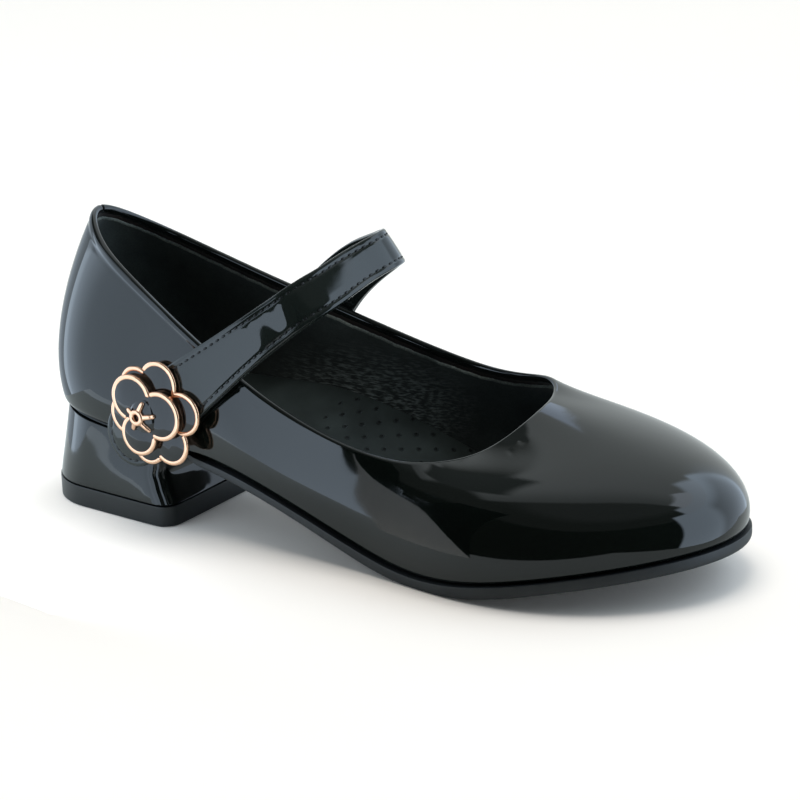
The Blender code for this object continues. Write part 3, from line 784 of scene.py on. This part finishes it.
def makeRubber(name, s):
    made, tree, surface, coords = newMaterial(name, {"Roughness": s["roughness"], "IOR": 1.5})
    feed(tree, surface["Base Color"], ramp(tree, noise(tree, coords, s["blotch"], 4.0),
                                           (0.3, linear(s["colour"])), (0.75, linear(s["light"]))))
    # treaded underneath: ribs across the sole, only where the face looks down
    ribs = addNode(tree, "ShaderNodeTexWave", {"Vector": coords, "Scale": 1000 / s["ribPitch"] / 20},
                   bands_direction="X", wave_profile="SIN").outputs["Fac"]
    facing = addNode(tree, "ShaderNodeNewGeometry").outputs["True Normal"]
    facing = addNode(tree, "ShaderNodeSeparateXYZ", {"Vector": facing}).outputs["Z"]
    tread = mathNode(tree, "MULTIPLY", ribs, mathNode(tree, "LESS_THAN", facing, -0.8))
    normal = bump(tree, noise(tree, coords, s["grit"], 3.0), s["gritHeight"], 0.8)
    feed(tree, surface["Normal"], bump(tree, tread, s["ribDepth"], under=normal))
    return made


def makeHeel(s):
    piece = roundedNode("heel_block", "heelBlock", patent, s)
    mesh = piece.data
    co = np.empty(len(mesh.vertices) * 3, np.float32)
    mesh.vertices.foreach_get("co", co)
    co = co.reshape(-1, 3).astype(float)
    x, y, z = co[:, 0] / mm + last["originX"], co[:, 1] / mm + last["originY"], co[:, 2] / mm
    face = np.interp(z, s["faceZ"], s["faceX"])
    for away, width, depth in s["pleats"]:
        y = y + depth * np.exp(-((x - face - away) / width)**2) * (y < -10)
    co[:, 1] = (y - last["originY"]) * mm
    mesh.vertices.foreach_set("co", co.astype(np.float32).ravel())
    mesh.update()
    return piece


outsoleRubber = makeRubber("outsole rubber, moulded black", rubberSettings)
liftRubber = makeRubber("heel lift rubber, satin black", liftSettings)
finishPiece(roundedNode("outsole", "rubberOutsole", outsoleRubber, rubberSettings), "sole_rubber", "outsole")
finishPiece(roundedNode("heel_lift", "heelLift", liftRubber, liftSettings), "lift_rubber", "heel_lift")
finishPiece(makeHeel(heelSettings), "heel_patent", "heel_block")
print("sole, heel and lift made")


# ornament: cast rose-gold petals in two tiers, their faces filled with black enamel

flowerSettings = {
    "x": 52.3, "z": 33.55, "back": -30.5,
    # petals: direction in degrees from the toe side upwards, distance of the round's centre, its radius
    "outer": {"petals": ((79, 9.1, 6.2), (9, 9.5, 6.0), (-57, 8.8, 6.1), (-106, 9.2, 5.4), (-173, 9.4, 5.8),
                         (128, 9.3, 5.4)),
              "core": 11.0, "lift": 1.05, "shift": 0.0, "dome": 1.1, "thick": 1.0, "rimLift": 0.25},
    "inner": {"petals": ((137, 6.4, 6.6), (8, 4.8, 6.8), (-116, 6.2, 5.8)),
              "core": 6.5, "lift": 3.25, "shift": -1.3, "dome": 1.3, "thick": 1.3, "rimLift": 0.35},
    "around": 168, "rings": 26, "inset": 0.35,
    # wires round the petals: radius, its flattening, overlap at one end, radius at the tips and its growth
    "rimWide": 0.80, "flatten": 0.625, "rimTail": 1.1, "rimTaper": (0.35, 0.16),
    # low dome in the middle: radius, height over the inner petals, its shift from the star on it
    "domeWide": 5.2, "domeHigh": 2.4, "domeShift": 0.8,
    "star": -2.65, "ringRadius": 1.6, "ringThick": 0.75,
    # direction and length of each stamen, and how its radius changes
    "stamens": ((69, 4.6), (8, 5.4), (-47, 5.2), (-120, 4.4), (153, 4.0)), "stamenThick": 0.75,
    "stamenTaper": (1.3, 1.15, 1.05, 1.0, 1.0, 1.0, 0.95, 0.9, 0.55),
}


def makeRoseGold():
    # die-cast zinc, plated rose gold and polished: warm bright highlights, slightly soft
    made, tree, surface, coords = newMaterial("rose gold plate, polished", {
        "Base Color": linear("#f2c09e"), "Metallic": 1.0, "Roughness": 0.2})
    cast = noise(tree, coords, 1.6, 3.0)
    feed(tree, surface["Roughness"], remap(tree, cast, 0.3, 0.75, 0.12, 0.28, "LINEAR"))
    feed(tree, surface["Normal"], bump(tree, cast, 0.05, 0.5))
    return made


def makeEnamel():
    # cold enamel poured into the petals: black, glossy, a little uneven where it set
    made, tree, surface, coords = newMaterial("cold enamel, poured black", {
        "Base Color": linear("#0a0b0b"), "Roughness": 0.06, "IOR": 1.52})
    feed(tree, surface["Normal"], bump(tree, noise(tree, coords, 6.5, 1.0), 0.42))
    return made


roseGold, enamel = makeRoseGold(), makeEnamel()


def flowerPoint(s, across, up, lift, shift=0.0):
    return np.stack([s["x"] + shift + across, s["back"] - lift + 0 * across, s["z"] + up], axis=-1)


def cappedPiece(name, rings, materials, finishes, ends):
    # open rings, each joined to the next, with a flat cap over the first and the last
    size, top = len(rings[0]), (len(rings) - 1) * len(rings[0])
    faces = loopFaces(len(rings), size, False)
    faces += [tuple(range(size)), tuple(reversed(range(top, top + size)))]
    finishes = [*np.repeat(finishes, size), *ends]
    piece = meshPiece(name, toWorld(np.concatenate(rings)), faces, materials, finishes)
    outwardFaces(piece)
    return piece


def makeWire(line, radii, thick, resolution):
    curve = bpy.data.curves.new("wire", "CURVE")
    curve.dimensions, curve.use_fill_caps = "3D", True
    curve.bevel_depth, curve.bevel_resolution = thick * mm, resolution
    spline = curve.splines.new("POLY")
    spline.points.add(len(line) - 1)
    for point, place, radius in zip(spline.points, toWorld(line), radii):
        point.co, point.radius = (*place, 1.0), radius
    wire = bpy.data.objects.new("wire", curve)
    bpy.context.scene.collection.objects.link(wire)
    return wire


def petalDisc(s, tier, name):
    # an enamelled face, domed over each petal, on a metal back
    turn = np.arange(s["around"]) * 2 * math.pi / s["around"]
    out = np.full(s["around"], tier["core"])
    for degrees, reach, radius in tier["petals"]:
        off = turn - math.radians(degrees)
        inside = radius**2 - (reach * np.sin(off))**2
        hit = reach * np.cos(off) + np.sqrt(np.maximum(inside, 0.0))
        out = np.maximum(out, np.where(inside > 0, hit, 0.0))
    out = out - s["inset"]
    rings = []
    for share, back in ((0.30, 0.0), (0.97, 0.0), (1.0, 0.25)):
        across, up = out * share * np.cos(turn), out * share * np.sin(turn)
        rings.append(flowerPoint(s, across, up, tier["lift"] - tier["thick"] + back, tier["shift"]))
    finishes = [1] * len(rings) + [0] * (s["rings"] - 1)
    for share in np.linspace(1.0, 0.06, s["rings"]):
        across, up = out * share * np.cos(turn), out * share * np.sin(turn)
        high = np.zeros(len(turn))
        for degrees, reach, radius in tier["petals"]:
            a = math.radians(degrees)
            away = np.hypot(across - reach * math.cos(a), up - reach * math.sin(a)) / radius
            high = np.maximum(high, np.sqrt(np.clip(1.02 - away**2, 0.0, 1.0)))
        rings.append(flowerPoint(s, across, up, tier["lift"] + high * tier["dome"], tier["shift"]))
    return cappedPiece(name, rings, [enamel, roseGold], finishes, (1, 0))


def rimWires(s, tier, name):
    # one wire round each petal, ending in rounded tails where it dips under its neighbours
    wires, petals, lift = [], tier["petals"], tier["lift"] + tier["rimLift"]
    least, growth = s["rimTaper"]
    for number, (degrees, reach, radius) in enumerate(petals):
        a = math.radians(degrees)
        turn = np.linspace(0.0, 2 * math.pi, 240, endpoint=False) + a + math.pi
        r = radius - s["rimWide"] * 0.8
        across, up = reach * math.cos(a) + r * np.cos(turn), reach * math.sin(a) + r * np.sin(turn)
        kept = np.hypot(across, up) > reach * 0.55
        for other, (otherDegrees, otherReach, otherRadius) in enumerate(petals):
            if other != number:
                b = math.radians(otherDegrees)
                gap = np.hypot(across - otherReach * math.cos(b), up - otherReach * math.sin(b)) - otherRadius
                kept &= gap > -(s["rimTail"] if (other - number) % len(petals) == 1 else 0.2)
        count = np.arange(np.count_nonzero(kept))
        radii = np.minimum(1.0, least + np.minimum(count, count[::-1]) * growth)
        line = flowerPoint(s, across[kept], up[kept], lift, tier["shift"])
        wires.append(makeWire(line, radii, s["rimWide"], 3))
    return joinWires(wires, name, s, lift)


def joinWires(wires, name, s, lift):
    # wires turned into one mesh, flattened from front to back
    bpy.ops.object.select_all(action="DESELECT")
    for wire in wires:
        wire.select_set(True)
    bpy.context.view_layer.objects.active = wires[0]
    bpy.ops.object.convert(target="MESH")
    piece = joinPieces(list(bpy.context.selected_objects), name)
    piece.data.materials.clear()
    piece.data.materials.append(roseGold)
    outwardFaces(piece, (bpy.ops.mesh.remove_doubles, {"threshold": 0.01 * mm}))
    middle = Vector((0, (s["back"] - lift - last["originY"]) * mm, 0))
    flattened = Matrix.Diagonal((1, s["flatten"], 1, 1))
    piece.data.transform(Matrix.Translation(middle) @ flattened @ Matrix.Translation(-middle))
    bpy.ops.object.shade_smooth()
    return piece


def makeCentre(s):
    # a low enamelled dome carrying a small ring with five stamens
    base = s["inner"]["lift"]
    top, least = base + s["domeHigh"], s["domeHigh"] - s["inner"]["dome"]
    wires = []
    for degrees, length in s["stamens"]:
        a = math.radians(degrees)
        steps = np.linspace(1.5, length, len(s["stamenTaper"]))
        fall = s["domeHigh"] * (1 - np.sqrt(np.maximum(1 - (steps / s["domeWide"])**2, 0.0)))
        rise = top + (0.25 - np.minimum(fall, least)) / s["flatten"]
        line = flowerPoint(s, steps * math.cos(a), steps * math.sin(a), rise, s["star"])
        wires.append(makeWire(line, s["stamenTaper"], s["stamenThick"], 2))
    stamens = joinWires(wires, "stamens", s, top)
    bpy.ops.object.select_all(action="DESELECT")
    place = toWorld(flowerPoint(s, np.array(0.0), np.array(0.0), top + 0.2, s["star"]))
    bpy.ops.mesh.primitive_torus_add(major_radius=s["ringRadius"] * mm, minor_radius=s["ringThick"] * mm,
                                     major_segments=32, minor_segments=12, location=tuple(place),
                                     rotation=(math.pi / 2, 0, 0))
    ring = bpy.context.active_object
    placeInMesh(ring)
    ring.data.materials.append(roseGold)
    bpy.ops.object.shade_smooth()
    turn = np.arange(64) * math.pi / 32
    rings = []
    for share in np.cos(np.linspace(0.0, 1.5, 18)):
        out = s["domeWide"] * share
        rings.append(flowerPoint(s, out * np.cos(turn), out * np.sin(turn),
                                 base - 0.1 + s["domeHigh"] * math.sqrt(1 - share**2),
                                 s["star"] + s["domeShift"]))
    dome = cappedPiece("centreDome", rings, [enamel], [0] * (len(rings) - 1), (0, 0))
    return joinPieces([stamens, ring, dome], "flowerCentre")


def makeFlower(s):
    outer, inner = s["outer"], s["inner"]
    finishPiece(petalDisc(s, outer, "outerPetalEnamel"), "ornament_enamel")
    finishPiece(petalDisc(s, inner, "innerPetalEnamel"), "ornament_enamel")
    finishPiece(rimWires(s, outer, "outerPetalRims"), "ornament_metal", "flower_outer_petals")
    finishPiece(rimWires(s, inner, "innerPetalRims"), "ornament_metal", "flower_inner_petals")
    finishPiece(makeCentre(s), "ornament_metal", "flower_boss")


makeFlower(flowerSettings)
print("ornament made")


# camera: long lens, low, from the outer side and a little ahead

cameraSettings = {
    "azimuth": 38.56, "elevation": 17.57, "roll": -3.23,
    "distance": 2.0396, "lens": 343.83, "target": (3.36 * mm, 1.2 * mm, 37.56 * mm),
}


def makeCamera(s):
    a, e, r = (math.radians(s[key]) for key in ("azimuth", "elevation", "roll"))
    back = Vector((math.sin(a) * math.cos(e), -math.cos(a) * math.cos(e), math.sin(e)))
    right = Vector((math.cos(a), math.sin(a), 0.0))
    up = back.cross(right)
    right, up = right * math.cos(r) + up * math.sin(r), up * math.cos(r) - right * math.sin(r)
    lens = bpy.data.cameras.new("camera")
    lens.lens = s["lens"]
    camera = bpy.data.objects.new("camera", lens)
    turned = Matrix((right, up, back)).transposed().to_4x4()
    camera.matrix_world = Matrix.Translation(Vector(s["target"]) + back * s["distance"]) @ turned
    bpy.context.scene.collection.objects.link(camera)
    bpy.context.scene.camera = camera


# studio: a white board under the shoe, soft boxes to its left and right, a dim room in front

studioSettings = {
    "roomLow": (0.026, 0.029, 0.027), "roomHigh": (0.10, 0.11, 0.105), "roomTop": (0.19, 0.205, 0.205),
    "roomStep": (37.0, 40.0), "roomRise": (52.0, 66.0),     # degrees up
    # ceiling over the far side: azimuth it lies towards, where it starts and brightens, lowest elevation
    "ceiling": (108.0, (-0.02, 0.04), (0.0, 0.35), (49.0, 52.5), (0.50, 0.55, 0.56), (0.84, 0.91, 0.93)),
    # azimuth of the middle, half width, lowest and highest elevation, soft edge, all in degrees; light
    "boxes": (
        (120.0, 32.0, -60.0, 62.0, 6.0, (0.83, 0.90, 0.91)),     # backdrop
        (169.0, 18.0, -60.0, 26.0, 4.0, (0.70, 0.82, 0.94)),     # its end beside the near soft box
        (45.0, 54.0, -60.0, 47.0, 1.8, (1.94, 2.36, 2.82)),      # right soft box
        (71.0, 28.0, -60.0, 38.0, 9.0, (1.08, 1.28, 1.50)),      # its dimmer middle
        (51.0, 43.0, 45.0, 60.0, 2.5, (1.94, 2.30, 2.70)),       # its upper part
        (47.0, 25.0, 57.0, 68.5, 2.2, (2.00, 2.25, 2.55)),       # small box over it
        (169.5, 13.5, 44.0, 57.0, 2.0, (0.16, 0.18, 0.18)),      # dark gap over the near end of the backdrop
    ),
    # little window in the backdrop: lowest and highest elevation, azimuth of its side at the bottom, how that
    # side bows with the elevation squared, width, soft edge; light
    "window": ((24.0, 46.0), 121.5, 0.0142, 8.0, 0.4, (1.42, 1.68, 2.05)),
    # near soft box at the left, in five parts side by side between these feet; each part's top, and how its
    # light changes from the far edge to the near one and from the bottom up
    "panelLight": (1.91, 2.30, 2.74), "panelBottom": -0.070,
    "panelFeet": ((-0.483, 0.006), (-0.1132, -0.0793), (-0.0840, -0.0860), (-0.0616, -0.0912),
                  (-0.0522, -0.0933), (-0.040, -0.0962)),
    "panels": (
        (0.160,
         ((0.0, 0.72), (0.33, 0.82), (0.52, 0.92), (0.68, 0.98), (0.80, 0.86), (0.89, 0.68), (1.0, 0.70)),
         ((0.0, 0.9), (0.30, 1.0), (0.78, 1.0), (0.835, 0.52), (1.0, 0.45))),
        (0.130, ((0.0, 0.70), (1.0, 0.76)), ((0.0, 0.9), (0.35, 1.0), (0.90, 1.0), (0.96, 0.52), (1.0, 0.5))),
        (0.086, ((0.0, 0.76), (1.0, 0.90)), ((0.0, 0.9), (0.45, 1.0), (0.94, 1.0), (1.0, 0.8))),
        (0.0715, ((0.0, 0.90), (1.0, 0.94)), ((0.0, 0.9), (0.5, 1.0), (1.0, 1.0))),
        (0.083, ((0.0, 0.94), (1.0, 0.97)), ((0.0, 0.9), (0.5, 1.0), (1.0, 1.0))),
    ),
    # corner of the board, bent up beside the waist, and a dark flag over it
    "corner": ((-0.0204, -0.0596, 0.0), (-0.0117, -0.0616, 0.044), (0.0263, -0.0704, 0.0)),
    "flag": ((-0.0117, -0.0616, 0.044), (-0.0137, -0.0612, 0.085), (0.0263, -0.0704, 0.085),
             (0.0263, -0.0704, 0.0)),
    "cornerGlow": 0.45,
    "board": (-0.165, 0.135, -0.085, 0.100), "boardColour": "#cdcec8",
    "flagColour": "#060606", "floorColour": "#f9efe4", "floorSize": 12.0, "floorGlow": 0.02,
    "overheadSize": 1.0, "overheadUp": 1.5, "overheadAlong": -0.04, "overheadLight": 3.75,
}


def makeStudio(s):
    world = bpy.data.worlds.new("studio")
    bpy.context.scene.world = world
    world.use_nodes = True
    tree = world.node_tree
    tree.nodes.clear()
    coords = addNode(tree, "ShaderNodeTexCoord").outputs["Generated"]
    axes = addNode(tree, "ShaderNodeSeparateXYZ", {"Vector": coords}).outputs

    def sums(operation, *terms):
        return mathNode(tree, operation, *terms)

    def product(*masks):
        result = masks[0]
        for mask in masks[1:]:
            result = sums("MULTIPLY", result, mask)
        return result

    def step(value, low, high):
        return remap(tree, value, low, high)

    def between(value, low, high, edge, highEdge=None):
        fall = highEdge or edge
        return step(value, low - edge, low + edge), step(value, high + fall, high - fall)

    def over(under, colour, mask):
        return mixColour(tree, mask, under, (*colour, 1.0))

    azimuth = sums("DEGREES", sums("ARCTAN2", axes["Y"], axes["X"]))
    elevation = sums("DEGREES", sums("ARCSINE", axes["Z"]))
    light = over((*s["roomLow"], 1.0), s["roomHigh"], step(elevation, *s["roomStep"]))
    light = over(light, s["roomTop"], step(elevation, *s["roomRise"]))
    towards, past, dim, low, dark, bright = s["ceiling"]
    lean = sums("ADD", sums("MULTIPLY", axes["X"], math.cos(math.radians(towards))),
                sums("MULTIPLY", axes["Y"], math.sin(math.radians(towards))))
    reach = sums("DIVIDE", lean, sums("MAXIMUM", axes["Z"], 0.05))
    shown = product(step(reach, *past), step(elevation, *low))
    light = over(light, dark, shown)
    light = over(light, bright, product(shown, step(reach, *dim)))
    for middle, half, low, high, edge, colour in s["boxes"]:
        turned = sums("ABSOLUTE", sums("WRAP", sums("SUBTRACT", azimuth, middle), 180.0, -180.0))
        side = step(turned, half + edge, half - edge)
        light = over(light, colour, product(side, *between(elevation, low, high, edge)))
    (low, high), side, bow, wide, edge, colour = s["window"]
    risen = sums("SUBTRACT", elevation, low)
    bowed = sums("SUBTRACT", azimuth, product(risen, risen, bow))
    light = over(light, colour, product(*between(bowed, side, side + wide, edge),
                                        *between(elevation, low, high, edge, edge * 4)))
    background = addNode(tree, "ShaderNodeBackground", {"Color": light})
    addNode(tree, "ShaderNodeOutputWorld", {"Surface": background.outputs["Background"]})


def makeBox(name, near, far, low, high, colour, along, up):
    # an upright soft box over a line on the floor, shining at the shoe and unseen by the camera
    run = Vector((far[0] - near[0], far[1] - near[1], 0.0))
    strength = max(colour)
    lamp = bpy.data.lights.new(name, "AREA")
    lamp.shape = "RECTANGLE"
    lamp.size, lamp.size_y = run.length, high - low
    lamp.energy = strength * math.pi * lamp.size * lamp.size_y
    lamp.color = [part / strength for part in colour]
    lamp.use_nodes = True
    tree = lamp.node_tree
    place = addNode(tree, "ShaderNodeTexCoord").outputs["UV"]
    axes = addNode(tree, "ShaderNodeSeparateXYZ", {"Vector": place}).outputs
    ramps = [ramp(tree, axes[axis], *((position, (*[grey] * 3, 1.0)) for position, grey in stops))
             for axis, stops in (("X", along), ("Y", up))]
    feed(tree, tree.nodes["Emission"].inputs["Strength"], mathNode(tree, "MULTIPLY", *ramps))
    box = bpy.data.objects.new(name, lamp)
    upward, right = Vector((0.0, 0.0, 1.0)), -run.normalized()
    middle = Vector(((near[0] + far[0]) / 2, (near[1] + far[1]) / 2, (low + high) / 2))
    turned = Matrix((right, upward, right.cross(upward))).transposed().to_4x4()
    box.matrix_world = Matrix.Translation(middle) @ turned
    box.visible_camera = False
    bpy.context.scene.collection.objects.link(box)


def makeLamps(s):
    feet = s["panelFeet"]
    for far, near, (top, along, up) in zip(feet, feet[1:], s["panels"]):
        makeBox("near soft box", near, far, s["panelBottom"], top, s["panelLight"], along, up)
    # wide soft light from above, to whiten the board; the lacquer doesn't mirror it
    lamp = bpy.data.lights.new("overhead", "AREA")
    lamp.size = s["overheadSize"]
    lamp.energy = s["overheadLight"] * math.pi * lamp.size**2
    overhead = bpy.data.objects.new("overhead", lamp)
    overhead.location = (s["overheadAlong"], 0.0, s["overheadUp"])
    overhead.visible_glossy = overhead.visible_camera = False
    bpy.context.scene.collection.objects.link(overhead)


def flatPiece(name, points, colour, glow=0.0):
    # a matt card of one face, which a little glow keeps bright
    finish = newMaterial(name, {"Base Color": linear(colour), "Roughness": 0.9, "Specular IOR Level": 0.1,
                                "Emission Color": (1.0, 1.0, 1.0, 1.0), "Emission Strength": glow})[0]
    piece = meshPiece(name, points, [tuple(range(len(points)))], [finish])
    return piece


def flatCorners(left, right, front, back, z):
    return [(left, front, z), (right, front, z), (right, back, z), (left, back, z)]


def makeFloor(s):
    # the floor is what the camera sees; the lacquer mirrors the board only, past whose edge the
    # soft boxes hang lower
    far = s["floorSize"] / 2
    floor = flatPiece("floor", flatCorners(-far, far, -far, far, -0.0002), s["floorColour"], s["floorGlow"])
    floor.visible_glossy = False
    board = flatPiece("board", flatCorners(*s["board"], -0.0001), s["boardColour"])
    corner = flatPiece("board corner", s["corner"], s["boardColour"], s["cornerGlow"])
    flag = flatPiece("flag", s["flag"], s["flagColour"])
    for piece in (board, corner, flag):
        piece.visible_camera = piece.visible_diffuse = piece.visible_shadow = False


makeCamera(cameraSettings)
makeStudio(studioSettings)
makeLamps(studioSettings)
makeFloor(studioSettings)
bpy.context.scene.view_settings.view_transform = "Standard"
print("camera, light and floor placed")
